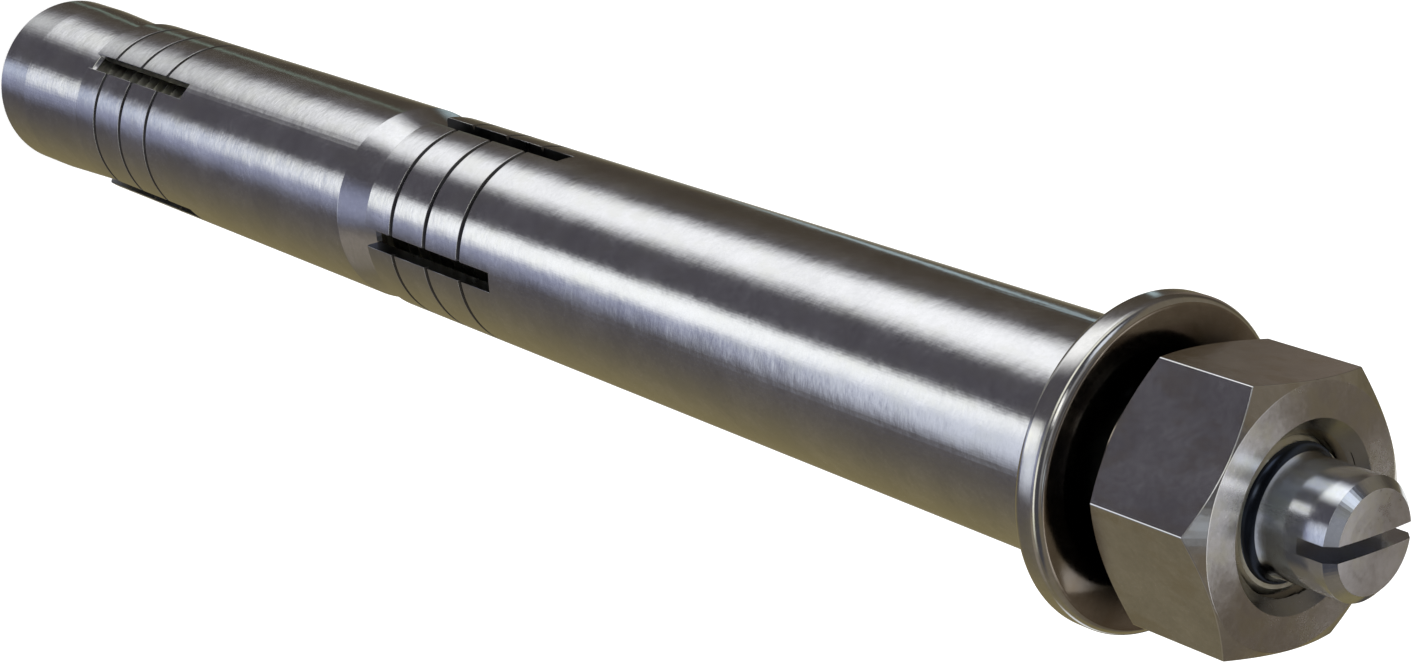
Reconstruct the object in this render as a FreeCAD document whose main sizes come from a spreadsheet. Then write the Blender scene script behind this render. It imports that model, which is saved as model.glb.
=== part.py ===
import FreeCAD, Part
import Sketcher
import os
import math

# Double expansion sleeve anchor, standing on the flat end of its cone nut.
# Millimetres, +Z along the stud from the cone nut to the slotted pin end.

doc = FreeCAD.newDocument("expansion_anchor")
sheet = doc.addObject("Spreadsheet::Sheet", "Dims")

DIMS = [
    # radii, from the stud outwards
    ("stud_radius", 6.0, "over the thread crests"),
    ("guide_clearance", 0.3, "sleeve bores over the stud"),
    ("slotted_bore_step", 1.25, "thin walled bore over the guide bore"),
    ("sleeve_wall", 1.45, "wall of the slotted length"),
    ("cone_rim_step", 0.1, "cone nut rim under the outside of the sleeves"),
    ("washer_overhang", 3.35, "washer beyond the outside of the sleeves"),
    ("washer_hole_clearance", 0.5, "washer hole over the stud"),
    ("nut_wall", 3.5, "nut flats beyond the thread crests"),
    ("nut_collar_step", 1.0, "washer face of the nut inside its flats"),
    ("nut_thread_gap", 0.06, "nut thread over the stud crests"),
    ("nut_lead_in", 0.8, "countersink at both nut faces"),
    ("thread_end_drop", 0.7, "bevel at the thread end, inwards"),
    ("pin_step", 0.93, "pin inside the thread end bevel"),
    # lengths, from the cone nut to the pin end
    ("cone_shoulder_height", 5.7, "plain rim of the cone nut"),
    ("nut_taper_length", 11.8, "cone nut rim to the front sleeve mouth"),
    ("front_sleeve_length", 51.3, "mouth to the start of the sleeve cone"),
    ("sleeve_cone_length", 4.6, "start of the sleeve cone to the rear mouth"),
    ("rear_sleeve_length", 86.5, "rear mouth to the washer"),
    ("washer_thickness", 2.6, "flat washer"),
    ("nut_washer_gap", 1.6, "washer to the washer face of the nut"),
    ("nut_collar_thickness", 0.9, "washer face under the hexagon"),
    ("nut_thickness", 10.1, "hexagon"),
    ("thread_end_depth", 1.2, "thread end below the nut's upper face"),
    ("thread_end_bevel_length", 0.5, "thread end bevel along the stud"),
    ("pin_length", 7.2, "pin beyond the thread end"),
    # expansion sleeves
    ("thin_wall_length", 26.0, "length of the thin walled bore"),
    ("bore_shoulder_length", 1.25, "cone that closes the thin walled bore"),
    ("slot_length", 19.5, "expansion slot from the mouth"),
    ("slot_width", 1.75, "expansion slot"),
    ("slot_count", 4, "expansion slots round each sleeve"),
    ("rear_slot_angle", 46.8, "rear sleeve slots against the front ones"),
    ("first_groove_offset", 4.3, "mouth to the first groove"),
    ("groove_pitch", 5.3, "groove to groove"),
    ("groove_count", 3, "grooves on each sleeve"),
    ("groove_width", 0.6, "groove at the outside"),
    ("groove_depth", 0.4, "groove"),
    ("front_mouth_bevel", 0.9, "inside bevel of the front sleeve mouth"),
    ("rear_mouth_bevel", 0.3, "inside bevel of the rear sleeve mouth"),
    ("edge_break", 0.2, "small bevel on turned outside edges"),
    # cones
    ("front_cone_clearance", 0.05, "cone nut tip inside the front mouth bevel"),
    ("rear_cone_clearance", 0.1, "sleeve cone tip inside the rear mouth bevel"),
    ("front_tip_entry", 0.3, "cone nut tip past the front mouth"),
    ("rear_tip_entry", 0.25, "sleeve cone tip past the rear mouth"),
    ("cone_tip_bevel", 0.35, "bevel on the small end of both cones"),
    ("cone_end_countersink", 0.8, "lead in at the open end of the cone nut"),
    ("stud_end_recess", 1.2, "stud end inside the cone nut"),
    ("stud_end_bevel", 1.0, "bevel on the hidden stud end"),
    # pin end
    ("pin_root_fillet", 0.5, "round between thread end and pin"),
    ("pin_bevel", 0.7, "bevel on the pin end"),
    ("pin_slot_width", 1.15, "driver slot in the pin end"),
    ("pin_slot_depth", 3.0, "driver slot in the pin end"),
    ("pin_slot_angle", 43.0, "driver slot about the axis, from +X"),
    # washer and nut
    ("washer_rim_bevel", 0.3, "broken outside edges"),
    ("nut_bevel_reach", 0.9, "how far the corner bevel runs along a corner"),
    ("nut_bevel_angle", 30.0, "corner bevel, degrees from the nut face"),
    ("nut_corner_angle", 38.1, "a nut corner about the axis, from +X"),
]

VALUES = {}
for row, (alias, value, note) in enumerate(DIMS, start=1):
    sheet.set("A%d" % row, alias.replace("_", " "))
    sheet.set("B%d" % row, repr(value))
    sheet.set("C%d" % row, note)
    sheet.setAlias("B%d" % row, alias)
    VALUES[alias] = float(value)
doc.recompute()


class Size:
    """A number together with the spreadsheet expression that gives it."""

    def __init__(self, value, text):
        self.value = float(value)
        self.text = text

    def __add__(self, other):
        other = as_size(other)
        return Size(self.value + other.value, "(%s + %s)" % (self.text, other.text))

    def __sub__(self, other):
        other = as_size(other)
        return Size(self.value - other.value, "(%s - %s)" % (self.text, other.text))

    def __mul__(self, other):
        other = as_size(other)
        return Size(self.value * other.value, "%s * %s" % (self.text, other.text))

    def __truediv__(self, other):
        other = as_size(other)
        return Size(self.value / other.value, "%s / %s" % (self.text, other.text))


def as_size(item):
    if isinstance(item, Size):
        return item
    return Size(item, repr(float(item)))


def dim(alias):
    return Size(VALUES[alias], "Dims." + alias)


def plane_of(body, role):
    for feature in body.Origin.OriginFeatures:
        if feature.Role == role:
            return feature
    raise RuntimeError("no origin feature " + role)


def new_sketch(body, name, role, height=None):
    sketch = body.newObject("Sketcher::SketchObject", name)
    sketch.AttachmentSupport = [(plane_of(body, role), "")]
    sketch.MapMode = "FlatFace"
    if height is not None:
        sketch.setExpression("AttachmentOffset.Base.z", height.text)
    return sketch


def closed_outline(sketch, points):
    """Straight outline whose corners are each tied to the spreadsheet."""
    count = len(points)
    for i in range(count):
        x0, y0 = points[i]
        x1, y1 = points[(i + 1) % count]
        start = FreeCAD.Vector(x0.value, y0.value, 0)
        end = FreeCAD.Vector(x1.value, y1.value, 0)
        sketch.addGeometry(Part.LineSegment(start, end), False)
    for i in range(count):
        sketch.addConstraint(Sketcher.Constraint("Coincident", i, 2, (i + 1) % count, 1))
    for i, (x, y) in enumerate(points):
        if abs(x.value) < 1e-9:
            sketch.addConstraint(Sketcher.Constraint("PointOnObject", i, 1, -2))
        else:
            at = sketch.addConstraint(Sketcher.Constraint("DistanceX", -1, 1, i, 1, x.value))
            sketch.setExpression("Constraints[%d]" % at, x.text)
        if abs(y.value) < 1e-9:
            sketch.addConstraint(Sketcher.Constraint("PointOnObject", i, 1, -1))
        else:
            at = sketch.addConstraint(Sketcher.Constraint("DistanceY", -1, 1, i, 1, y.value))
            sketch.setExpression("Constraints[%d]" % at, y.text)


def turned(body, name, points):
    """Full revolution of an outline given as radius, height."""
    sketch = new_sketch(body, name + "_outline", "XZ_Plane")
    closed_outline(sketch, points)
    solid = body.newObject("PartDesign::Revolution", name)
    solid.Profile = sketch
    solid.ReferenceAxis = (sketch, ["V_Axis"])
    solid.Angle = 360.0
    body.Tip = solid
    doc.recompute()
    return solid


def turned_cut(body, name, points):
    """Full revolution of an outline given as radius, height, taken away."""
    before = body.Shape.Volume
    sketch = new_sketch(body, name + "_outline", "XZ_Plane")
    closed_outline(sketch, points)
    cut = body.newObject("PartDesign::Groove", name)
    cut.Profile = sketch
    cut.ReferenceAxis = (sketch, ["V_Axis"])
    cut.Angle = 360.0
    body.Tip = cut
    doc.recompute()
    if not body.Shape.Volume < before - 1e-6:
        raise RuntimeError(name + " cuts nothing")
    return cut


def slot_cut(body, name, points, height, depth, upward):
    """Pocket of a flat outline, starting at a height and running along Z."""
    before = body.Shape.Volume
    sketch = new_sketch(body, name + "_outline", "XY_Plane", height)
    closed_outline(sketch, points)
    cut = body.newObject("PartDesign::Pocket", name)
    cut.Profile = sketch
    cut.setExpression("Length", depth.text)
    cut.Reversed = upward
    body.Tip = cut
    doc.recompute()
    if not body.Shape.Volume < before - 1e-6:
        raise RuntimeError(name + " cuts nothing")
    return cut


def around(body, name, feature, count):
    pattern = body.newObject("PartDesign::PolarPattern", name)
    pattern.Originals = [feature]
    pattern.Axis = (plane_of(body, "Z_Axis"), [""])
    pattern.Angle = 360.0
    body.Tip = pattern
    pattern.setExpression("Occurrences", count.text)
    doc.recompute()
    return pattern


def along(body, name, feature, pitch, count):
    pattern = body.newObject("PartDesign::LinearPattern", name)
    pattern.Originals = [feature]
    pattern.Direction = (plane_of(body, "Z_Axis"), [""])
    body.Tip = pattern
    pattern.setExpression("Length", "%s * (%s - 1)" % (pitch.text, count.text))
    pattern.setExpression("Occurrences", count.text)
    doc.recompute()
    return pattern


def turn_body(body, angle):
    body.Placement = FreeCAD.Placement(
        FreeCAD.Vector(0, 0, 0), FreeCAD.Rotation(FreeCAD.Vector(0, 0, 1), angle.value))
    body.setExpression("Placement.Rotation.Angle", angle.text)
    doc.recompute()


edge = dim("edge_break")
tip_bevel = dim("cone_tip_bevel")
front_bevel = dim("front_mouth_bevel")
rear_bevel = dim("rear_mouth_bevel")

# Radii follow the stud outwards.
stud_r = dim("stud_radius")
guide_r = stud_r + dim("guide_clearance")
bore_r = guide_r + dim("slotted_bore_step")
sleeve_r = bore_r + dim("sleeve_wall")
nut_tip_r = bore_r + front_bevel - dim("front_cone_clearance")
sleeve_tip_r = bore_r + rear_bevel - dim("rear_cone_clearance")

# Heights follow each other from the cone nut to the pin end.
cone_shoulder = dim("cone_shoulder_height")
front_mouth = cone_shoulder + dim("nut_taper_length")
cone_start = front_mouth + dim("front_sleeve_length")
rear_mouth = cone_start + dim("sleeve_cone_length")
rear_top = rear_mouth + dim("rear_sleeve_length")
washer_top = rear_top + dim("washer_thickness")
collar_base = washer_top + dim("nut_washer_gap")
nut_base = collar_base + dim("nut_collar_thickness")
nut_top = nut_base + dim("nut_thickness")
thread_end = nut_top - dim("thread_end_depth")
pin_top = thread_end + dim("pin_length")

# Cone nut: plain rim, long slim taper, bevelled tip inside the front mouth.
cone_nut = doc.addObject("PartDesign::Body", "cone_nut")
cone_top = front_mouth + dim("front_tip_entry")
sink = dim("cone_end_countersink")
cone_r = sleeve_r - dim("cone_rim_step")
zero = Size(0, "0")
turned(cone_nut, "cone_nut_turned", [
    (stud_r + sink, zero),
    (cone_r - edge, zero),
    (cone_r, edge),
    (cone_r, cone_shoulder),
    (nut_tip_r, cone_top - tip_bevel),
    (nut_tip_r - tip_bevel, cone_top),
    (stud_r, cone_top),
    (stud_r, sink),
])


def sleeve_slots_and_grooves(body, prefix, mouth):
    half = dim("slot_width") / 2
    inner = stud_r * 0.5
    slot = slot_cut(body, prefix + "_slot", [
        (inner, zero - half),
        (sleeve_r + 2, zero - half),
        (sleeve_r + 2, half),
        (inner, half),
    ], mouth, dim("slot_length"), True)
    around(body, prefix + "_slots", slot, dim("slot_count"))
    middle = mouth + dim("first_groove_offset")
    side = dim("groove_width") / 2
    floor = sleeve_r - dim("groove_depth")
    groove = turned_cut(body, prefix + "_groove", [
        (floor, middle),
        (sleeve_r + dim("groove_depth"), middle - side * 2),
        (sleeve_r + dim("groove_depth"), middle + side * 2),
    ])
    along(body, prefix + "_grooves", groove, dim("groove_pitch"), dim("groove_count"))


# Front sleeve: slotted mouth, plain length, and its own cone at the far end.
front_sleeve = doc.addObject("PartDesign::Body", "front_sleeve")
front_top = rear_mouth + dim("rear_tip_entry")
thin_end = front_mouth + dim("thin_wall_length")
shoulder_end = thin_end + dim("bore_shoulder_length")
turned(front_sleeve, "front_sleeve_turned", [
    (bore_r + front_bevel, front_mouth),
    (sleeve_r - edge, front_mouth),
    (sleeve_r, front_mouth + edge),
    (sleeve_r, cone_start),
    (sleeve_tip_r, front_top - tip_bevel),
    (sleeve_tip_r - tip_bevel, front_top),
    (guide_r, front_top),
    (guide_r, shoulder_end),
    (bore_r, thin_end),
    (bore_r, front_mouth + front_bevel),
])
sleeve_slots_and_grooves(front_sleeve, "front", front_mouth)

# Rear sleeve: the same slotted mouth, then a long spacer tube to the washer.
rear_sleeve = doc.addObject("PartDesign::Body", "rear_sleeve")
rear_thin_end = rear_mouth + dim("thin_wall_length")
rear_shoulder_end = rear_thin_end + dim("bore_shoulder_length")
turned(rear_sleeve, "rear_sleeve_turned", [
    (bore_r + rear_bevel, rear_mouth),
    (sleeve_r - edge, rear_mouth),
    (sleeve_r, rear_mouth + edge),
    (sleeve_r, rear_top - edge),
    (sleeve_r - edge, rear_top),
    (guide_r, rear_top),
    (guide_r, rear_shoulder_end),
    (bore_r, rear_thin_end),
    (bore_r, rear_mouth + rear_bevel),
])
sleeve_slots_and_grooves(rear_sleeve, "rear", rear_mouth)
turn_body(rear_sleeve, dim("rear_slot_angle"))

# Stud: threaded rod over its crests, bevelled thread end, pin with a slot.
stud = doc.addObject("PartDesign::Body", "stud")
end_bevel_r = stud_r - dim("thread_end_drop")
stud_base = dim("stud_end_recess")
stud_bevel = dim("stud_end_bevel")
pin_r = end_bevel_r - dim("pin_step")
pin_bevel = dim("pin_bevel")
stud_turned = turned(stud, "stud_turned", [
    (zero, stud_base),
    (stud_r - stud_bevel, stud_base),
    (stud_r, stud_base + stud_bevel),
    (stud_r, thread_end - dim("thread_end_bevel_length")),
    (end_bevel_r, thread_end),
    (pin_r, thread_end),
    (pin_r, pin_top - pin_bevel),
    (pin_r - pin_bevel, pin_top),
    (zero, pin_top),
])
root_edges = []
for number, rim in enumerate(stud.Shape.Edges, start=1):
    curve = rim.Curve
    if not isinstance(curve, Part.Circle):
        continue
    same_radius = abs(curve.Radius - pin_r.value) < 1e-4
    if same_radius and abs(curve.Center.z - thread_end.value) < 1e-4:
        root_edges.append("Edge%d" % number)
root_round = stud.newObject("PartDesign::Fillet", "pin_root_round")
root_round.Base = (stud_turned, root_edges)
root_round.setExpression("Radius", dim("pin_root_fillet").text)
stud.Tip = root_round
doc.recompute()
slot_half = dim("pin_slot_width") / 2
reach = pin_r + 1
slot_cut(stud, "pin_slot", [
    (zero - reach, zero - slot_half),
    (reach, zero - slot_half),
    (reach, slot_half),
    (zero - reach, slot_half),
], pin_top, dim("pin_slot_depth"), False)
turn_body(stud, dim("pin_slot_angle"))

# Washer: flat, with a broken rim.
washer = doc.addObject("PartDesign::Body", "washer")
washer_r = sleeve_r + dim("washer_overhang")
hole_r = stud_r + dim("washer_hole_clearance")
rim = dim("washer_rim_bevel")
turned(washer, "washer_turned", [
    (hole_r, rear_top),
    (washer_r - rim, rear_top),
    (washer_r, rear_top + rim),
    (washer_r, washer_top - rim),
    (washer_r - rim, washer_top),
    (hole_r, washer_top),
])

# Nut: hexagon bevelled at both ends, low round washer face, threaded hole.
hex_nut = doc.addObject("PartDesign::Body", "hex_nut")
corner_x = math.cos(math.radians(30.0))
flat_r = stud_r + dim("nut_wall")
corner_r = flat_r / corner_x
hexagon = []
for i in range(6):
    angle = math.radians(60.0 * i)
    cos_a = round(math.cos(angle), 12)
    sin_a = round(math.sin(angle), 12)
    x = corner_r * cos_a if abs(cos_a) > 1e-9 else zero
    y = corner_r * sin_a if abs(sin_a) > 1e-9 else zero
    hexagon.append((x, y))
hexagon_sketch = new_sketch(hex_nut, "nut_hexagon_outline", "XY_Plane", nut_base)
closed_outline(hexagon_sketch, hexagon)
hexagon_pad = hex_nut.newObject("PartDesign::Pad", "nut_hexagon")
hexagon_pad.Profile = hexagon_sketch
hexagon_pad.setExpression("Length", dim("nut_thickness").text)
hex_nut.Tip = hexagon_pad
doc.recompute()

collar_sketch = new_sketch(hex_nut, "nut_collar_outline", "XY_Plane", nut_base)
collar_r = flat_r - dim("nut_collar_step")
centre = FreeCAD.Vector(0, 0, 0)
normal = FreeCAD.Vector(0, 0, 1)
collar_sketch.addGeometry(Part.Circle(centre, normal, collar_r.value), False)
collar_sketch.addConstraint(Sketcher.Constraint("Coincident", 0, 3, -1, 1))
at = collar_sketch.addConstraint(Sketcher.Constraint("Radius", 0, collar_r.value))
collar_sketch.setExpression("Constraints[%d]" % at, collar_r.text)
collar_pad = hex_nut.newObject("PartDesign::Pad", "nut_collar")
collar_pad.Profile = collar_sketch
collar_pad.setExpression("Length", dim("nut_collar_thickness").text)
collar_pad.Reversed = True
hex_nut.Tip = collar_pad
doc.recompute()

# The bevel reaches nut_bevel_reach along each corner at its set angle.
reach_z = dim("nut_bevel_reach")
slope = Size(
    1.0 / math.tan(math.radians(VALUES["nut_bevel_angle"])),
    "1 / tan(Dims.nut_bevel_angle * 1 deg)")
bevel_in = corner_r - Size(reach_z.value * slope.value, "%s * (%s)" % (reach_z.text, slope.text))
outer = corner_r + 2
rise = Size(2.0 / slope.value, "2 / (%s)" % slope.text)
turned_cut(hex_nut, "nut_upper_bevel", [
    (bevel_in, nut_top),
    (outer, nut_top - reach_z - rise),
    (outer, nut_top + 1),
    (bevel_in, nut_top + 1),
])
turned_cut(hex_nut, "nut_lower_bevel", [
    (bevel_in, nut_base),
    (bevel_in, nut_base - 1),
    (outer, nut_base - 1),
    (outer, nut_base + reach_z + rise),
])

thread_r = stud_r + dim("nut_thread_gap")
lead = dim("nut_lead_in")
turned_cut(hex_nut, "nut_threaded_hole", [
    (zero, collar_base - lead),
    (thread_r + lead * 2, collar_base - lead),
    (thread_r, collar_base + lead),
    (thread_r, nut_top - lead),
    (thread_r + lead * 2, nut_top + lead),
    (zero, nut_top + lead),
])
turn_body(hex_nut, dim("nut_corner_angle"))

doc.recompute()
for item in doc.Objects:
    for word in ("Invalid", "Error"):
        if word in item.State:
            raise RuntimeError("%s is %s" % (item.Name, word))

os.makedirs("parts", exist_ok=True)
for body in (cone_nut, front_sleeve, rear_sleeve, stud, washer, hex_nut):
    shape = body.Shape
    if shape.isNull() or not shape.isValid():
        raise RuntimeError(body.Name + " has no valid shape")
    if len(shape.Solids) != 1:
        raise RuntimeError("%s is %d solids" % (body.Name, len(shape.Solids)))
    shape.exportStep("parts/%s.step" % body.Name)
    box = shape.BoundBox
    print(body.Name, "volume %.1f" % shape.Volume, "z %.2f to %.2f" % (box.ZMin, box.ZMax),
          "width %.2f" % box.XLength)
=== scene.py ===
import math

import bmesh
import bpy
from mathutils import Matrix, Vector


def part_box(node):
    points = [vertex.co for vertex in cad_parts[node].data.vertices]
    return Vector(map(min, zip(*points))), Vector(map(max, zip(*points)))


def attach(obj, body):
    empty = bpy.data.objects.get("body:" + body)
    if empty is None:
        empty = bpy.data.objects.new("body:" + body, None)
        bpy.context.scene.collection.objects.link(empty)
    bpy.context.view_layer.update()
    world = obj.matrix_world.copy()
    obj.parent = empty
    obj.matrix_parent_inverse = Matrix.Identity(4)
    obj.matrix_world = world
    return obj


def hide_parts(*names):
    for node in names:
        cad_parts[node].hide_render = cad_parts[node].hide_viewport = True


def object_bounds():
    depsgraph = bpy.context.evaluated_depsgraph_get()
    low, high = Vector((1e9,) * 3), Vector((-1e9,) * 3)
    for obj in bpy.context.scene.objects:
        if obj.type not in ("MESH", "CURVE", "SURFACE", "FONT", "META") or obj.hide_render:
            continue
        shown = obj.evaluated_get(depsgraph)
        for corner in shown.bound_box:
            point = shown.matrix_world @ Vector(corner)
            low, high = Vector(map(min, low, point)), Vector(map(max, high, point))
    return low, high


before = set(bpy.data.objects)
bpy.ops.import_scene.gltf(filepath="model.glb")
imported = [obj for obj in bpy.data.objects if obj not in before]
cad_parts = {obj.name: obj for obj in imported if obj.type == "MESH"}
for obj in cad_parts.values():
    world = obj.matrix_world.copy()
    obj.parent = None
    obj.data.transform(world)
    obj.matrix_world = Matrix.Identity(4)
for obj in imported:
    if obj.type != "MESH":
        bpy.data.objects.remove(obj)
cad_low, cad_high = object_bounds()

MM = 0.001
TURN = 2 * math.pi
HAIR = 0.01 * MM    # tells two heights or radii of the same mesh apart

# Camera, fitted to the round edges in the photograph.
PHOTO_WIDTH = 1412
FOCAL_PIXELS = 2982.09
SENSOR_WIDTH = 36.0
CAMERA_PLACE = Vector((155.5723, 47.6757, 295.3117)) * MM
CAMERA_RIGHT = Vector((-0.576592, -0.526956, 0.624386))
CAMERA_UP = Vector((0.510097, -0.829150, -0.228718))

# Coarse M12 thread. Shares are parts of one pitch.
THREAD_PITCH = 1.75 * MM
THREAD_DEPTH = 1.07 * MM
CREST_SHARE = 0.16
ROOT_SHARE = 0.22
NUT_THREAD_GAP = 0.10 * MM
NUT_THREAD_SEEN = 2.6 * MM

# Rows of points to each pitch of thread: inside the sleeves, behind the slots, in the nut.
# The finer rows go on past the slots' ends and down into the nut by a margin.
HIDDEN_STEPS, SLOT_STEPS, MOUTH_STEPS = 7, 12, 22
FRONT_MARGIN, SLOT_MARGIN, MOUTH_MARGIN = 4.0 * MM, 2.0 * MM, 4.0 * MM

# Sizes that the solids have but their boxes don't tell.
SLEEVE_OVER_STUD = 3.0 * MM
BORE_RADIUS = 7.55 * MM
GUIDE_RADIUS = 6.3 * MM
THIN_WALL_LENGTH = 26.0 * MM
BORE_SHOULDER = 1.25 * MM
SLOT_LENGTH = 19.5 * MM
SLOT_WIDTH = 1.75 * MM
SLOTS = 4
REAR_SLOT_ANGLE = math.radians(46.8)
FIRST_GROOVE = 4.3 * MM
GROOVE_PITCH = 5.3 * MM
GROOVES = 3
GROOVE_HALF = 0.26 * MM
GROOVE_DEPTH = 0.4 * MM
EDGE_BREAK = 0.2 * MM
FRONT_MOUTH_BEVEL = 0.9 * MM
REAR_MOUTH_BEVEL = 0.3 * MM
CONE_START = 68.8 * MM
SLEEVE_TIP_RADIUS = 7.75 * MM
NUT_TIP_RADIUS = 8.4 * MM
TIP_BEVEL = 0.35 * MM
CONE_SHOULDER = 5.7 * MM
CONE_BORE_BEVEL = 0.8 * MM
WASHER_HOLE = 6.5 * MM
WASHER_ROUNDING = 0.75 * MM
NUT_COLLAR_RADIUS = 8.5 * MM
NUT_COLLAR = 0.9 * MM
NUT_BORE = 6.06 * MM
NUT_LEAD = 0.8 * MM
NUT_MOUTH_BELOW_LEAD = 0.2 * MM
NUT_FLAT_RADIUS = 9.5 * MM
NUT_CORNER_ANGLE = math.radians(38.1)
NUT_BEVEL_REACH = 0.9 * MM
NUT_BEVEL_ANGLE = math.radians(30.0)
NUT_FACE_DROP = 0.16 * MM
PIN_LENGTH = 7.2 * MM
PIN_RADIUS = 4.37 * MM
PIN_BEVEL = 0.7 * MM
PIN_ROOT = 0.62 * MM
PIN_ROOT_HEIGHT = 1.7 * MM
PIN_FOOT_SHARE = 0.4    # of that height is near-black, painted shade at the foot
PIN_DOME = 0.15 * MM
PIN_SLOT_ANGLE = math.radians(43.0)
PIN_SLOT_WIDTH = 1.15 * MM
PIN_SLOT_DEPTH = 3.0 * MM
THREAD_END_RADIUS = 5.3 * MM
THREAD_END_BEVEL = 0.5 * MM
THREAD_START_BEVEL = 1.0 * MM

# Worn edges: how wide they are rounded, and the radius beyond which they are worn.
SLEEVE_WEAR, SLEEVE_WEAR_FROM = 0.05 * MM, 8.65 * MM
CONE_WEAR, CONE_WEAR_FROM = 0.10 * MM, 8.0 * MM
NUT_WEAR, NUT_WEAR_FROM = 0.28 * MM, 9.3 * MM
NUT_RING_WEAR = 0.5    # share of it on the edges that run round the axis
PIN_WEAR = 0.05 * MM

# Edges sharper than this stay crisp when a piece is shaded smooth.
CRISP_EDGE = math.radians(12)
CRISP_STUD_EDGE = math.radians(26)

# Detail of the steel, in noise cells to the metre.
CLOUDS, STAINS, GRAIN, SWELL = 230.0, 420.0, 2600.0, 330.0
TURNING_MARKS = (90.0, 90.0, 7000.0)
FEATHERED_WAVES = (900.0, 900.0, 2400.0)
SWELL_OVER_WAVES = 4.5
# Painted shade: the near-black that the colour of narrow gaps is darkened to.
PAINTED_SHADE_DARK = (0.012, 0.014, 0.020, 1.0)

FLOOR_HALF = 3.0
FLOOR_DROP = 0.02 * MM
FLOOR_TONE = 0.80
FLOOR_GLOW = 0.55    # brings the floor up to the white of the world, for the camera alone

WHITE = (1.0, 1.0, 1.0, 1.0)

# Share of the light that bare steel mirrors.
STEEL = 0.80

# What the steel mirrors: soft panels round the object. Each row has the compass direction
# in degrees, half width, softness of the sides, degrees of lean per degree of height,
# lowest and highest height above the horizon, softness of the ends, and the colour as
# it looks in steel, 0 to 255. A later panel stands in front of an earlier one.
PANELS = [
    # name, direction, half width, soft, lean, lowest, highest, soft, colour
    ("warm_wall", 180, 70, 116, 0, -90, 90, 1, (114, 105, 77)),
    ("brown_wall", -112, 26, 44, 0, -90, 10, 8, (65, 59, 52)),
    ("brown_glow", -126, 13, 22, 0, -38, -12, 3, (108, 98, 89)),
    ("side_glow", 92, 22, 24, 0, -34, -8, 8, (122, 115, 107)),
    ("far_edge", -160, 12, 24, 0, -90, -41, 1.5, (176, 173, 164)),
    ("green_line", -110, 2.0, 5, 3.0, -64, -55, 2, (118, 134, 124)),
    ("blue_line", -122, 3, 5, 3.0, -48, -39, 2, (160, 178, 184)),
    ("white_strip_low", -50, 14, 26, 0, -90, -58, 3, (172, 173, 174)),
    ("white_strip", -45.5, 18.5, 23, 0, -58, -12, 4, (241, 242, 245)),
    ("cool_fill", 41, 16, 26, 0, -90, -14, 8, (132, 136, 160)),
    ("cool_strip_low", 32, 8, 16, 0, -90, -57, 3, (166, 174, 196)),
    ("cool_strip", 29.5, 11, 13, 0, -57, -37, 4, (252, 254, 255)),
    ("cool_strip_near", 46, 14, 27, 0, -46, -36, 3, (206, 211, 223)),
    ("upper_wall", 180, 181, 1, 0, 14, 90, 8, (102, 95, 84)),
    ("upper_back", 180, 30, 40, 0, 14, 52, 8, (84, 76, 66)),
    ("upper_dark", 15, 92, 20, 0, 12, 48, 8, (62, 62, 68)),
    ("left_lamp", -48, 13, 16, 0, 25, 50, 4, (214, 220, 232)),
    ("front_lamp", 4, 9, 9, 0, 22, 47, 4, (255, 255, 255)),
    ("upper_front", 10, 62, 30, 0, 49, 64, 4, (126, 127, 132)),
    ("zenith", 180, 181, 1, 0, 67, 90, 4, (72, 70, 72)),
    ("zenith_lamp", 90, 20, 14, 0, 70, 78, 4, (160, 166, 172)),
    ("back_lamp", -168, 30, 26, 0, 49, 78, 4, (230, 230, 232)),
    ("horizon", 10, 70, 40, 0, -9, 7, 3, (228, 228, 218)),
    ("horizon_gap", 22, 12, 18, 0, -9, 7, 3, (104, 104, 108)),
    ("back_strip", 152, 13, 18, 0, -31, -14, 4, (214, 216, 222)),
    ("back_strip_left", -152, 10, 14, 0, -31, -16, 3, (222, 222, 220)),
    ("back_shade", 180, 9, 14, 0, -31, -14, 4, (62, 60, 62)),
]

# What shows between the panels.
STUDIO_DIM = (73, 71, 77)


def linear(red, green, blue):
    """A colour written as it looks on screen, 0 to 255, as Blender's linear colour."""
    out = []
    for part in (red, green, blue):
        c = part / 255.0
        out.append(c / 12.92 if c <= 0.04045 else ((c + 0.055) / 1.055) ** 2.4)
    return (*out, 1.0)


class Nodes:
    """Short calls for building a node tree."""

    def __init__(self, tree):
        self.tree = tree
        tree.nodes.clear()

    def add(self, kind, **settings):
        node = self.tree.nodes.new(kind)
        for name, value in settings.items():
            setattr(node, name, value)
        return node

    def link(self, source, target):
        self.tree.links.new(source, target)

    def feed(self, socket, value):
        if isinstance(value, bpy.types.NodeSocket):
            self.link(value, socket)
        else:
            socket.default_value = value

    def math(self, operation, a, b=0.0, c=0.0):
        node = self.add("ShaderNodeMath", operation=operation)
        for socket, value in zip(node.inputs, (a, b, c)):
            self.feed(socket, value)
        return node.outputs[0]

    def rescale(self, value, low, high, out_low, out_high, smooth=False):
        node = self.add("ShaderNodeMapRange")
        node.interpolation_type = "SMOOTHSTEP" if smooth else "LINEAR"
        for socket, number in zip(node.inputs, (value, low, high, out_low, out_high)):
            self.feed(socket, number)
        return node.outputs[0]

    def mix(self, factor, a, b):
        node = self.add("ShaderNodeMix", data_type="RGBA")
        self.feed(node.inputs[0], factor)
        self.feed(node.inputs[6], a)
        self.feed(node.inputs[7], b)
        return node.outputs[2]

    def noise(self, vector, scale, detail=4.0, roughness=0.5):
        node = self.add("ShaderNodeTexNoise")
        self.link(vector, node.inputs["Vector"])
        node.inputs["Scale"].default_value = scale
        node.inputs["Detail"].default_value = detail
        node.inputs["Roughness"].default_value = roughness
        return node.outputs[0]

    def stretched(self, vector, scale):
        node = self.add("ShaderNodeVectorMath", operation="MULTIPLY")
        self.link(vector, node.inputs[0])
        node.inputs[1].default_value = scale
        return node.outputs[0]


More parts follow.
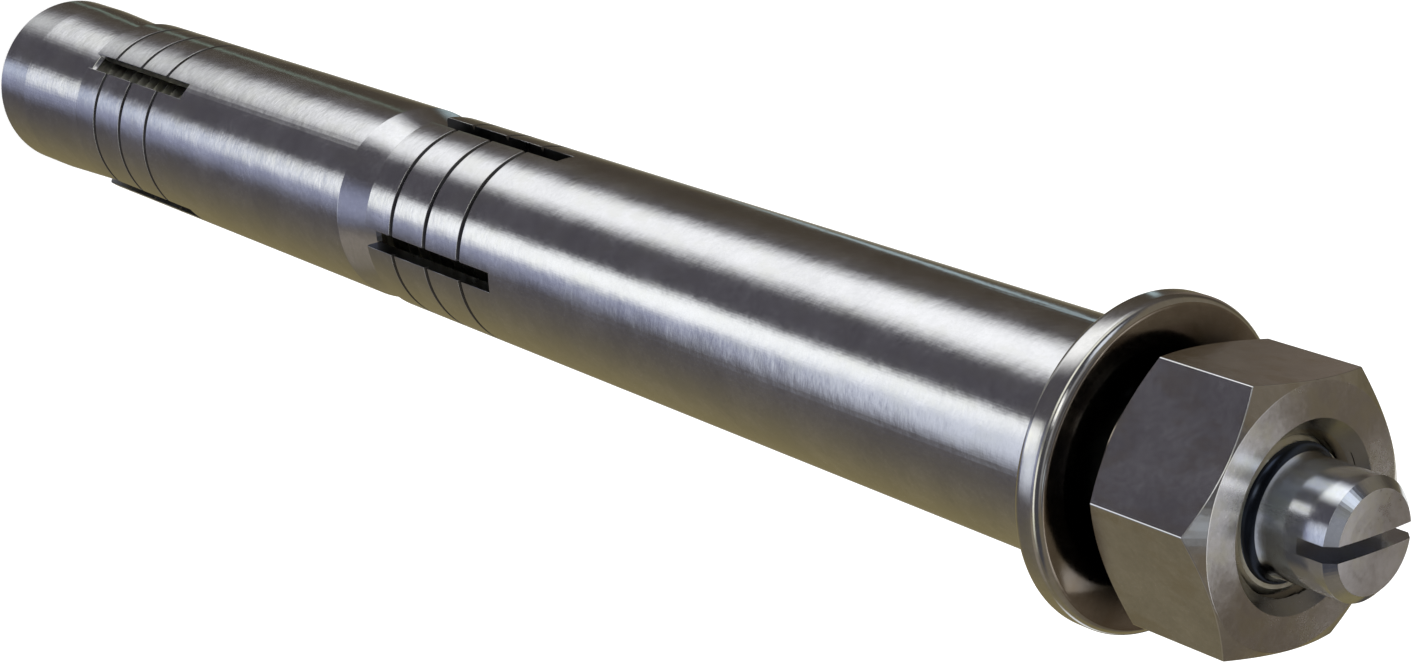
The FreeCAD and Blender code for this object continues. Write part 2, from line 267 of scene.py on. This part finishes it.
def mirrored_colour(colour):
    """The light that looks like this colour once the steel has mirrored it."""
    red, green, blue, _ = linear(*colour)
    return (red / STEEL, green / STEEL, blue / STEEL, 1.0)


def add_panel(n, below, direction, height, panel):
    """One soft-edged panel laid over what is behind it."""
    _, centre, half, soft, lean, lowest, highest, edge, colour = panel
    middle = n.math("MULTIPLY_ADD", height, lean, centre - lean * (lowest + highest) / 2)
    apart = n.math("WRAP", n.math("SUBTRACT", direction, middle), 180.0, -180.0)
    apart = n.math("ABSOLUTE", apart)
    cover = n.rescale(apart, half - soft / 2, half + soft / 2, 1.0, 0.0, True)
    if lowest > -90:
        above = n.rescale(height, lowest - edge, lowest + edge, 0.0, 1.0, True)
        cover = n.math("MULTIPLY", cover, above)
    if highest < 90:
        under = n.rescale(height, highest - edge, highest + edge, 1.0, 0.0, True)
        cover = n.math("MULTIPLY", cover, under)
    return n.mix(cover, below, mirrored_colour(colour))


def make_world():
    """White world. Glossy rays see the panels of the studio instead."""
    world = bpy.data.worlds.new("studio")
    world.use_nodes = True
    world.cycles.sampling_method = "NONE"
    bpy.context.scene.world = world
    n = Nodes(world.node_tree)
    parts = n.add("ShaderNodeSeparateXYZ")
    n.link(n.add("ShaderNodeTexCoord").outputs["Generated"], parts.inputs[0])
    x, y, z = parts.outputs
    direction = n.math("DEGREES", n.math("ARCTAN2", y, x))
    height = n.math("DEGREES", n.math("ARCSINE", z))
    shade = mirrored_colour(STUDIO_DIM)
    for panel in PANELS:
        shade = add_panel(n, shade, direction, height, panel)
    mirrored = n.add("ShaderNodeLightPath").outputs["Is Glossy Ray"]
    background = n.add("ShaderNodeBackground")
    n.link(n.mix(mirrored, WHITE, shade), background.inputs["Color"])
    background.inputs["Strength"].default_value = 1.0
    out = n.add("ShaderNodeOutputWorld")
    n.link(background.outputs[0], out.inputs[0])


def make_steel(name, tone, roughness, marks, waves, shade_reach=0.0, dark_at=0.0, clear_at=1.0,
               turned=0.0, stain=(0.97, 0.97, 0.86)):
    """Plated steel: turning marks, feathered waves, stained colour and uneven gloss.

    marks and waves are heights in millimetres. Given a shade reach, the colour is darkened
    towards near-black as painted shade where little of the surroundings within that reach
    is open: fully where less than dark_at of them is open, and not at all above clear_at.
    A turned finish spreads the gloss across its fine circular marks. stain is the tint of
    the stained places.
    """
    material = bpy.data.materials.new(name)
    material.use_nodes = True
    n = Nodes(material.node_tree)
    shader = n.add("ShaderNodeBsdfPrincipled")
    out = n.add("ShaderNodeOutputMaterial")
    n.link(shader.outputs[0], out.inputs[0])
    shader.inputs["Metallic"].default_value = 1.0
    place = n.add("ShaderNodeTexCoord").outputs["Object"]
    clouds = n.noise(place, CLOUDS, 5.0, 0.62)
    stains = n.noise(n.stretched(place, (1.0, 1.0, 0.6)), STAINS, 4.0, 0.6)
    grain = n.noise(place, GRAIN, 3.0, 0.6)
    low = tuple(c * 0.90 for c in tone) + (1.0,)
    high = tuple(min(1.0, c * 1.08) for c in tone) + (1.0,)
    shade = n.math("ADD", n.math("MULTIPLY", clouds, 0.7), n.math("MULTIPLY", grain, 0.3))
    colour = n.mix(n.rescale(shade, 0.38, 0.62, 0.0, 1.0), low, high)
    stained = tuple(c * share for c, share in zip(tone, stain)) + (1.0,)
    colour = n.mix(n.rescale(stains, 0.46, 0.66, 0.0, 0.8, True), colour, stained)
    # Painted shade: ambient occlusion darkens the colour in narrow gaps.
    if shade_reach:
        gap = n.add("ShaderNodeAmbientOcclusion", samples=8)
        gap.inputs["Distance"].default_value = shade_reach
        open_share = n.rescale(gap.outputs["AO"], dark_at, clear_at, 0.0, 1.0, True)
        colour = n.mix(open_share, PAINTED_SHADE_DARK, colour)
    n.link(colour, shader.inputs["Base Color"])
    uneven = n.rescale(shade, 0.35, 0.65, roughness * 0.75, roughness * 1.3)
    n.link(uneven, shader.inputs["Roughness"])
    rings = n.noise(n.stretched(place, TURNING_MARKS), 1.0, 2.0, 0.5)
    feather = n.noise(n.stretched(place, FEATHERED_WAVES), 1.0, 4.0, 0.6)
    swell = n.noise(place, SWELL, 3.0, 0.55)
    heights = n.math("MULTIPLY", rings, marks)
    heights = n.math("MULTIPLY_ADD", feather, waves, heights)
    heights = n.math("MULTIPLY_ADD", swell, waves * SWELL_OVER_WAVES, heights)
    bump = n.add("ShaderNodeBump")
    bump.inputs["Strength"].default_value = 1.0
    bump.inputs["Distance"].default_value = 1.0 * MM
    n.link(heights, bump.inputs["Height"])
    n.link(bump.outputs[0], shader.inputs["Normal"])
    if turned:
        shader.inputs["Anisotropic"].default_value = turned
        shader.inputs["Anisotropic Rotation"].default_value = 0.25
        round_axis = n.add("ShaderNodeTangent", direction_type="RADIAL", axis="Z")
        n.link(round_axis.outputs[0], shader.inputs["Tangent"])
    return material


def make_floor():
    """Pale floor, white to the camera, which keeps a faint shadow."""
    mesh = bpy.data.meshes.new("floor")
    ends = (-FLOOR_HALF, FLOOR_HALF)
    mesh.from_pydata([(x, y, 0) for y in ends for x in ends], [], [(0, 1, 3, 2)])
    material = bpy.data.materials.new("pale_floor")
    material.use_nodes = True
    n = Nodes(material.node_tree)
    matt = n.add("ShaderNodeBsdfDiffuse")
    matt.inputs["Color"].default_value = (FLOOR_TONE, FLOOR_TONE, FLOOR_TONE, 1.0)
    glow = n.add("ShaderNodeEmission")
    seen = n.add("ShaderNodeLightPath").outputs["Is Camera Ray"]
    n.link(n.math("MULTIPLY", seen, FLOOR_GLOW), glow.inputs["Strength"])
    both = n.add("ShaderNodeAddShader")
    n.link(matt.outputs[0], both.inputs[0])
    n.link(glow.outputs[0], both.inputs[1])
    out = n.add("ShaderNodeOutputMaterial")
    n.link(both.outputs[0], out.inputs[0])
    mesh.materials.append(material)
    floor = bpy.data.objects.new("floor", mesh)
    floor.location.z = cad_low.z - FLOOR_DROP
    floor.visible_glossy = False
    bpy.context.collection.objects.link(floor)


def make_camera():
    data = bpy.data.cameras.new("camera")
    data.sensor_fit = "HORIZONTAL"
    data.sensor_width = SENSOR_WIDTH
    data.lens = FOCAL_PIXELS / PHOTO_WIDTH * SENSOR_WIDTH
    data.clip_start, data.clip_end = 0.01, 20.0
    camera = bpy.data.objects.new("camera", data)
    back = CAMERA_RIGHT.cross(CAMERA_UP)
    turn = Matrix((CAMERA_RIGHT, CAMERA_UP, back)).transposed().to_4x4()
    camera.matrix_world = Matrix.Translation(CAMERA_PLACE) @ turn
    bpy.context.collection.objects.link(camera)
    bpy.context.scene.camera = camera


def point_at(radius, angle, z):
    return (radius * math.cos(angle), radius * math.sin(angle), z)


def even_angles(count):
    return [TURN * i / count for i in range(count)]


def add_piece(name, points, faces, materials, body, node, wear, pick=None):
    """Makes the piece that stands for a CAD node and rides on its body.

    wear is the width of the worn edges and the share of it that each edge gets.
    pick gives the number of a face's material. Without it every face has the first.
    """
    mesh = bpy.data.meshes.new(name)
    mesh.from_pydata(points, [], faces)
    shape = bmesh.new()
    shape.from_mesh(mesh)
    loose = [v for v in shape.verts if not v.link_faces]
    bmesh.ops.delete(shape, geom=loose, context="VERTS")
    bmesh.ops.recalc_face_normals(shape, faces=shape.faces)
    shape.to_mesh(mesh)
    shape.free()
    for material in materials:
        mesh.materials.append(material)
    for face in mesh.polygons:
        if pick:
            face.material_index = pick(face)
    mesh.shade_smooth()
    mesh.set_sharp_from_angle(angle=CRISP_EDGE)
    piece = bpy.data.objects.new(name, mesh)
    bpy.context.collection.objects.link(piece)
    if wear:
        wear_edges(piece, *wear)
    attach(piece, body)
    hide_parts(node)
    return piece


def beyond(radius, ring_share=1.0):
    """Wear for the edges beyond a radius. Edges round the axis get a share of it."""
    def share(one, other):
        if min(one.xy.length, other.xy.length) < radius:
            return 0.0
        return 1.0 if abs(one.z - other.z) > 1.0 * MM else ring_share
    return share


def wear_edges(piece, width, share):
    """Rounds the sharp edges, each by its share of the width."""
    mesh = piece.data
    sharp = mesh.attributes["sharp_edge"].data
    weights = mesh.attributes.new("bevel_weight_edge", "FLOAT", "EDGE")
    for edge in mesh.edges:
        if sharp[edge.index].value:
            ends = [mesh.vertices[v].co for v in edge.vertices]
            weights.data[edge.index].value = share(*ends)
    rounding = piece.modifiers.new("worn_edges", "BEVEL")
    rounding.limit_method = "WEIGHT"
    rounding.width = width
    rounding.segments = 3
    rounding.harden_normals = True


def keep_shape(piece):
    """Makes the outcome of the modifiers the piece's own mesh."""
    bpy.context.view_layer.update()
    graph = bpy.context.evaluated_depsgraph_get()
    shaped = bpy.data.meshes.new_from_object(piece.evaluated_get(graph))
    piece.modifiers.clear()
    piece.data = shaped
    return shaped


def ring_faces(rows, columns, closed):
    """Quads between neighbouring rings of points. Closed joins the last to the first."""
    faces = []
    last = rows if closed else rows - 1
    for k in range(last):
        a, b = k * columns, (k + 1) % rows * columns
        for i in range(columns):
            j = (i + 1) % columns
            faces.append((a + i, a + j, b + j, b + i))
    return faces


def turned_piece(name, outline, materials, body, node, wear, pick=None, columns=160):
    """Full revolution of a closed outline of radius and height."""
    points = [point_at(r, a, z) for r, z in outline for a in even_angles(columns)]
    faces = ring_faces(len(outline), columns, True)
    return add_piece(name, points, faces, materials, body, node, wear, pick)


def grooved_outside(mouth, top, radius):
    """Outside of a sleeve from its far end down to the mouth, with its grooves."""
    outline = [(radius, top), (radius, mouth + SLOT_LENGTH)]
    for k in reversed(range(GROOVES)):
        middle = mouth + FIRST_GROOVE + k * GROOVE_PITCH
        outline.append((radius, middle + GROOVE_HALF))
        outline.append((radius - GROOVE_DEPTH, middle + GROOVE_HALF / 3))
        outline.append((radius - GROOVE_DEPTH, middle - GROOVE_HALF / 3))
        outline.append((radius, middle - GROOVE_HALF))
    outline.append((radius, mouth + EDGE_BREAK))
    outline.append((radius - EDGE_BREAK, mouth))
    return outline


def sleeve_inside(mouth, top, bevel):
    """Inside of a sleeve from the mouth up: thin wall, then the bore that runs on the stud."""
    return [
        (BORE_RADIUS + bevel, mouth),
        (BORE_RADIUS, mouth + bevel),
        (BORE_RADIUS, mouth + SLOT_LENGTH),
        (BORE_RADIUS, mouth + THIN_WALL_LENGTH),
        (GUIDE_RADIUS, mouth + THIN_WALL_LENGTH + BORE_SHOULDER),
        (GUIDE_RADIUS, top),
    ]


def slotted_piece(name, outline, mouth, turned_by, materials, body, node, wear):
    """Revolution of an outline with slots of one width cut in from the mouth."""
    slot_steps, land_steps = 4, 60
    sector = slot_steps + land_steps
    columns = sector * SLOTS
    slot_end = mouth + SLOT_LENGTH
    points = []
    for radius, z in outline:
        edge = math.asin(SLOT_WIDTH / 2 / radius)
        land = TURN / SLOTS - 2 * edge
        for slot in range(SLOTS):
            centre = TURN * slot / SLOTS + turned_by
            for k in range(slot_steps):
                points.append(point_at(radius, centre - edge + 2 * edge * k / slot_steps, z))
            for k in range(land_steps):
                points.append(point_at(radius, centre + edge + land * k / land_steps, z))
    rows = len(outline)
    cut = [z <= slot_end + 1e-9 for _, z in outline]
    faces = []
    for number, face in enumerate(ring_faces(rows, columns, True)):
        k, i = divmod(number, columns)
        in_slot = i % sector < slot_steps
        if not (in_slot and cut[k] and cut[(k + 1) % rows]):
            faces.append(face)
    first = next(k for k in range(rows) if cut[k] and not cut[k - 1])
    section = [(first + k) % rows for k in range(sum(cut))]
    outer, inner = section[0], section[-1]
    for slot in range(SLOTS):
        left = slot * sector
        right = left + slot_steps
        faces.append(tuple(k * columns + left for k in section))
        faces.append(tuple(k * columns + right for k in reversed(section)))
        for i in range(left, right):
            faces.append((outer * columns + i, outer * columns + i + 1,
                          inner * columns + i + 1, inner * columns + i))

    def pick(face):
        """Which material: 0 outside, 1 bore, 2 walls of the slots, 3 grooves. 1 to 3 are darker
        steel, painted shade.
        """
        radius, z = face.center.xy.length, face.center.z
        if z > slot_end + HAIR:
            return 0
        if faces_round(face) or z > slot_end - HAIR:
            return 2
        if radius < BORE_RADIUS + 2 * HAIR:
            return 1
        in_groove = radius < outer_radius - 0.05 * MM and z > mouth + 1.0 * MM
        return 3 if in_groove else 0

    outer_radius = max(r for r, _ in outline)
    return add_piece(name, points, faces, materials, body, node, wear, pick)


def faces_round(face):
    """True where a face looks along the circumference, as a slot's side walls do."""
    x, y = face.center.xy.normalized()
    return abs(face.normal.x * y - face.normal.y * x) > 0.5


def make_cone_nut(steel):
    low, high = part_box("cone_nut")
    rim = high.x
    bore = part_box("stud")[1].x
    outline = [
        (bore + CONE_BORE_BEVEL, low.z),
        (rim - EDGE_BREAK, low.z),
        (rim, low.z + EDGE_BREAK),
        (rim, CONE_SHOULDER),
        (NUT_TIP_RADIUS, high.z - TIP_BEVEL),
        (NUT_TIP_RADIUS - TIP_BEVEL, high.z),
        (bore, high.z),
        (bore, low.z + CONE_BORE_BEVEL),
    ]
    turned_piece("cone_nut_turned", outline, [steel], "stud_body", "cone_nut",
                 (CONE_WEAR, beyond(CONE_WEAR_FROM)))


def make_front_sleeve(steels):
    low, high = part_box("front_sleeve")
    mouth, radius = low.z, high.x
    outline = [(SLEEVE_TIP_RADIUS - TIP_BEVEL, high.z), (SLEEVE_TIP_RADIUS, high.z - TIP_BEVEL)]
    outline += grooved_outside(mouth, CONE_START, radius)
    outline += sleeve_inside(mouth, high.z, FRONT_MOUTH_BEVEL)
    slotted_piece("front_sleeve_slotted", outline, mouth, 0.0, steels,
                  "front_sleeve_body", "front_sleeve", (SLEEVE_WEAR, beyond(SLEEVE_WEAR_FROM)))


def make_rear_sleeve(steels):
    low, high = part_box("rear_sleeve")
    mouth, radius = low.z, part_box("front_sleeve")[1].x
    outline = [(radius - EDGE_BREAK, high.z)]
    outline += grooved_outside(mouth, high.z - EDGE_BREAK, radius)
    outline += sleeve_inside(mouth, high.z, REAR_MOUTH_BEVEL)
    slotted_piece("rear_sleeve_slotted", outline, mouth, REAR_SLOT_ANGLE, steels,
                  "rear_sleeve_body", "rear_sleeve", (SLEEVE_WEAR, beyond(SLEEVE_WEAR_FROM)))


def make_washer(rim_steel, face_steel):
    """Flat washer with a rounded rim. Its two faces are stained, and darker than the rim as
    painted shade.
    """
    low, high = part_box("washer")
    radius, rim = high.x, WASHER_ROUNDING
    steps = 10
    outline = [(WASHER_HOLE, low.z)]
    for centre_z, start in ((low.z + rim, -math.pi / 2), (high.z - rim, 0.0)):
        for k in range(steps + 1):
            a = start + math.pi / 2 * k / steps
            outline.append((radius - rim + rim * math.cos(a), centre_z + rim * math.sin(a)))
    outline.append((WASHER_HOLE, high.z))
    turned_piece("washer_turned", outline, [rim_steel, face_steel], "washer_body", "washer", None,
                 lambda face: 1 if abs(face.normal.z) > 0.97 else 0, 192)


def thread_cut(share):
    """How deep the thread is below its crest, for a place within one pitch."""
    share %= 1.0
    flank = (1.0 - CREST_SHARE - ROOT_SHARE) / 2
    away = min(share, 1.0 - share) - CREST_SHARE / 2
    return THREAD_DEPTH * min(1.0, max(0.0, away / flank))


def thread_share(angle, z):
    """Place within the pitch of a right-handed thread."""
    return z / THREAD_PITCH - angle / TURN


def thread_rows(low, high, steps):
    """Even heights from low up to, but without, high: so many to each pitch."""
    count = max(2, round((high - low) / THREAD_PITCH * steps))
    return [low + (high - low) * k / count for k in range(count)]


def make_stud(steels):
    """The stud with its helical thread, the pin and the driver slot."""
    low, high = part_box("stud")
    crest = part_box("front_sleeve")[1].x - SLEEVE_OVER_STUD
    thread_top = high.z - PIN_LENGTH
    angles = even_angles(96)
    front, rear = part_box("front_sleeve")[0].z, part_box("rear_sleeve")[0].z
    stretches = [
        (low.z, HIDDEN_STEPS),
        (front - FRONT_MARGIN, SLOT_STEPS),
        (front + SLOT_LENGTH + SLOT_MARGIN, HIDDEN_STEPS),
        (rear - SLOT_MARGIN, SLOT_STEPS),
        (rear + SLOT_LENGTH + SLOT_MARGIN, HIDDEN_STEPS),
        (thread_top - MOUTH_MARGIN, MOUTH_STEPS),
    ]
    ends = [start for start, _ in stretches[1:]] + [thread_top]
    heights = []
    for (start, steps), end in zip(stretches, ends):
        heights += thread_rows(start, end, steps)
    heights.append(thread_top)
    points = []
    for z in heights:
        start_cap = crest - max(0.0, THREAD_START_BEVEL - (z - low.z))
        share_left = min(1.0, (thread_top - z) / THREAD_END_BEVEL)
        end_cap = THREAD_END_RADIUS + (crest - THREAD_END_RADIUS) * share_left
        for a in angles:
            radius = min(start_cap, end_cap, crest - thread_cut(thread_share(a, z)))
            points.append(point_at(radius, a, z))
    smooth = []
    flare_steps = 8
    for k in range(flare_steps + 1):
        a = math.pi / 2 * k / flare_steps
        flare, rise = PIN_ROOT * (1 - math.sin(a)), PIN_ROOT_HEIGHT * (1 - math.cos(a))
        smooth.append((PIN_RADIUS + flare, thread_top + rise))
    smooth.append((PIN_RADIUS, high.z - PIN_DOME - PIN_BEVEL))
    for share in (1.0, 0.75, 0.5, 0.25):
        smooth.append(((PIN_RADIUS - PIN_BEVEL) * share, high.z - PIN_DOME * share ** 2))
    points += [point_at(r, a, z) for r, z in smooth for a in angles]
    rows, columns = len(heights) + len(smooth), len(angles)
    faces = ring_faces(rows, columns, False)
    faces.append(tuple(range(columns)))
    faces.append(tuple((rows - 1) * columns + i for i in range(columns)))

    def pick(face):
        """Which material: 0 thread, 1 pin, 2 end faces, 3 the foot of the pin, near-black as
        painted shade.
        """
        height = face.center.z - thread_top
        if abs(face.normal.z) > 0.99 and abs(height) > 1.0 * MM:
            return 2
        if height < HAIR:
            return 0
        return 3 if height < PIN_ROOT_HEIGHT * PIN_FOOT_SHARE else 1

    def on_pin(one, other):
        """Wear for the edges of the pin alone."""
        return 1.0 if min(one.z, other.z) > thread_top + PIN_ROOT_HEIGHT else 0.0

    stud = add_piece("threaded_stud", points, faces, steels, "stud_body", "stud", None, pick)
    cut_pin_slot(stud, high)
    wear_edges(stud, PIN_WEAR, on_pin)


def cut_pin_slot(stud, high):
    """Takes the driver slot out of the pin end."""
    reach, half = 8.0 * MM, PIN_SLOT_WIDTH / 2
    corners = []
    for z in (high.z - PIN_SLOT_DEPTH, high.z + 1.0 * MM):
        for x, y in ((-reach, -half), (reach, -half), (reach, half), (-reach, half)):
            corners.append((x, y, z))
    sides = [(3, 2, 1, 0), (4, 5, 6, 7), (0, 1, 5, 4), (1, 2, 6, 5), (2, 3, 7, 6), (3, 0, 4, 7)]
    mesh = bpy.data.meshes.new("slot_cutter")
    mesh.from_pydata(corners, [], sides)
    mesh.transform(Matrix.Rotation(PIN_SLOT_ANGLE, 4, "Z"))
    # The slot's walls take the stud's last material, the darker steel of the driver slot, which
    # is painted shade.
    for material in stud.data.materials:
        mesh.materials.append(material)
    for side in mesh.polygons:
        side.material_index = len(stud.data.materials) - 1
    cutter = bpy.data.objects.new("slot_cutter", mesh)
    bpy.context.collection.objects.link(cutter)
    cut = stud.modifiers.new("slot", "BOOLEAN")
    cut.operation, cut.solver, cut.object = "DIFFERENCE", "EXACT", cutter
    shaped = keep_shape(stud)
    shaped.shade_smooth()
    shaped.set_sharp_from_angle(angle=CRISP_STUD_EDGE)
    bpy.data.objects.remove(cutter)


def make_hex_nut(steels):
    """Hexagon with bevelled corners, a collar below, and the thread seen in its upper end."""
    low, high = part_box("hex_nut")
    bottom = low.z + NUT_COLLAR
    corner = NUT_FLAT_RADIUS / math.cos(math.pi / 6)
    bevel_start = corner - NUT_BEVEL_REACH / math.tan(NUT_BEVEL_ANGLE)
    crest = NUT_BORE + NUT_THREAD_GAP
    lead_radius = NUT_BORE + NUT_LEAD
    angles = [a + NUT_CORNER_ANGLE for a in even_angles(120)]
    thread_low = high.z - NUT_THREAD_SEEN

    def hexagon_radius(angle):
        turned = (angle - NUT_CORNER_ANGLE) % (math.pi / 3) - math.pi / 6
        return NUT_FLAT_RADIUS / math.cos(turned)

    def plain(radius, z):
        return [(radius, z)] * len(angles)

    def hexagon(z, inwards):
        row = []
        for a in angles:
            radius = hexagon_radius(a)
            drop = (radius - bevel_start) * math.tan(NUT_BEVEL_ANGLE)
            row.append((radius, z + inwards * drop))
        return row

    def threaded(z):
        lead_cone = lead_radius - (high.z - z)
        row = []
        for a in angles:
            ridge = crest - thread_cut(thread_share(a, z))
            row.append((max(ridge, lead_cone), z))
        return row

    rows = [
        plain(NUT_BORE, low.z + NUT_LEAD),
        plain(lead_radius, low.z),
        plain(NUT_COLLAR_RADIUS, low.z),
        plain(NUT_COLLAR_RADIUS, bottom),
        plain(bevel_start, bottom),
        hexagon(bottom, 1.0),
        hexagon(high.z - NUT_FACE_DROP, -1.0),
        plain(bevel_start, high.z - NUT_FACE_DROP),
        plain(lead_radius, high.z),
    ]
    heights = thread_rows(thread_low, high.z - 5 * HAIR, MOUTH_STEPS)
    rows += [threaded(z) for z in reversed(heights)]
    rows.append(plain(NUT_BORE, thread_low - 2 * HAIR))
    points = []
    for row in rows:
        points += [point_at(radius, a, z) for (radius, z), a in zip(row, angles)]
    faces = ring_faces(len(rows), len(angles), True)

    def pick(face):
        """Which material: 0 flats, 1 turned end, 2 below, near-black as painted shade, 3 collar,
        4 mouth, 5 thread; 4 and 5 are darker, with painted shade.
        """
        radius, z = face.center.xy.length, face.center.z
        if z < bottom + HAIR:
            return 3 if radius > lead_radius and abs(face.normal.z) < 0.5 else 2
        if radius < lead_radius - 2 * HAIR:
            return 4 if z > high.z - NUT_LEAD - NUT_MOUTH_BELOW_LEAD else 5
        return 1 if face.normal.z > 0.95 else 0

    nut = add_piece("hex_nut_threaded", points, faces, steels, "nut_body", "hex_nut",
                    (NUT_WEAR, beyond(NUT_WEAR_FROM, NUT_RING_WEAR)), pick)

    def is_worn(face):
        """True for the rounded faces between two flats, or between a flat and a bevel.

        steep is 0 on a flat, 0.87 on a bevel and 1 on the two ends.
        """
        steep = abs(face.normal.z)
        way = math.atan2(face.normal.y, face.normal.x)
        off_flat = (way - NUT_CORNER_ANGLE) % (math.pi / 3) - math.pi / 6
        return steep < 0.84 and (steep > 0.05 or abs(off_flat) > math.radians(4))

    for face in keep_shape(nut).polygons:
        if face.center.xy.length > NUT_WEAR_FROM and is_worn(face):
            face.material_index = len(steels) - 1


# Colour, roughness, turning marks and waves of the sleeves' and the cone's plating.
PLATED = ((0.80, 0.80, 0.80), 0.15, 0.0005, 0.008)
PLATED_STAIN = (0.96, 0.96, 0.92)

sleeve_steel = make_steel("sleeve_steel", *PLATED, stain=PLATED_STAIN)
# The bore, the slots' walls and the grooves are darker than the outside: painted shade, darkest
# on the rear sleeve's slot walls.
bore_painted_shade_steel = make_steel("bore_painted_shade_steel", (0.06, 0.06, 0.06), 0.30, 0.0010, 0.004)
front_wall_painted_shade_steel = make_steel("front_wall_painted_shade_steel", (0.30, 0.30, 0.29), 0.35, 0.0010, 0.004)
rear_wall_painted_shade_steel = make_steel("rear_wall_painted_shade_steel", (0.09, 0.09, 0.09), 0.35, 0.0010, 0.004)
groove_painted_shade_steel = make_steel("groove_painted_shade_steel", (0.20, 0.20, 0.21), 0.30, 0.0010, 0.004)
make_front_sleeve([sleeve_steel, bore_painted_shade_steel, front_wall_painted_shade_steel, groove_painted_shade_steel])
make_rear_sleeve([sleeve_steel, bore_painted_shade_steel, rear_wall_painted_shade_steel, groove_painted_shade_steel])
make_cone_nut(make_steel("cone_steel", *PLATED, stain=PLATED_STAIN))
make_washer(
    make_steel("washer_steel", (0.80, 0.79, 0.76), 0.13, 0.0010, 0.004),
    # The faces are darker and browner than the rim, which is painted shade, with stains, and
    # painted shade deepens in narrow gaps.
    make_steel("washer_face_painted_shade_steel", (0.48, 0.42, 0.35), 0.15, 0.0, 0.002,
               shade_reach=4.5 * MM, dark_at=0.45, clear_at=0.84, stain=(0.90, 0.86, 0.80)),
)
make_stud([
    make_steel("thread_steel", (0.78, 0.77, 0.66), 0.34, 0.0, 0.003),
    # The pin darkens towards its foot, where the nut closes round it: painted shade.
    make_steel("pin_steel_with_painted_shade", (0.80, 0.83, 0.88), 0.12, 0.0, 0.003,
               shade_reach=2.0 * MM, dark_at=0.26, clear_at=0.50),
    make_steel("stud_end_steel", (0.86, 0.85, 0.88), 0.36, 0.0, 0.001),
    # The foot of the pin is near-black: painted shade.
    make_steel("pin_foot_painted_shade_steel", (0.05, 0.06, 0.08), 0.20, 0.0, 0.002),
    # The driver slot's walls are darker and bluer than the pin: painted shade.
    make_steel("driver_slot_painted_shade_steel", (0.56, 0.59, 0.68), 0.13, 0.0, 0.001),
])
make_hex_nut([
    make_steel("nut_steel", (0.80, 0.79, 0.78), 0.17, 0.0, 0.003, stain=(0.88, 0.84, 0.76)),
    make_steel("nut_face_steel", (0.84, 0.83, 0.84), 0.23, 0.0, 0.0005, turned=0.85),
    # Underneath the nut is near-black: painted shade.
    make_steel("nut_under_painted_shade_steel", (0.05, 0.05, 0.05), 0.25, 0.0, 0.003),
    make_steel("nut_collar_steel", (0.80, 0.81, 0.84), 0.14, 0.0, 0.003),
    # The nut's mouth and thread are darker than its flats, and darken further in narrow gaps:
    # painted shade.
    make_steel("nut_mouth_painted_shade_steel", (0.46, 0.47, 0.50), 0.22, 0.0, 0.001,
               shade_reach=2.5 * MM, dark_at=0.25, clear_at=0.60),
    make_steel("nut_thread_painted_shade_steel", (0.40, 0.38, 0.34), 0.18, 0.0, 0.002,
               shade_reach=1.5 * MM, dark_at=0.30, clear_at=0.75),
    make_steel("nut_edge_steel", (0.97, 0.97, 0.98), 0.12, 0.0, 0.001),
])

make_world()
make_floor()
make_camera()
bpy.context.scene.view_settings.view_transform = "Standard"
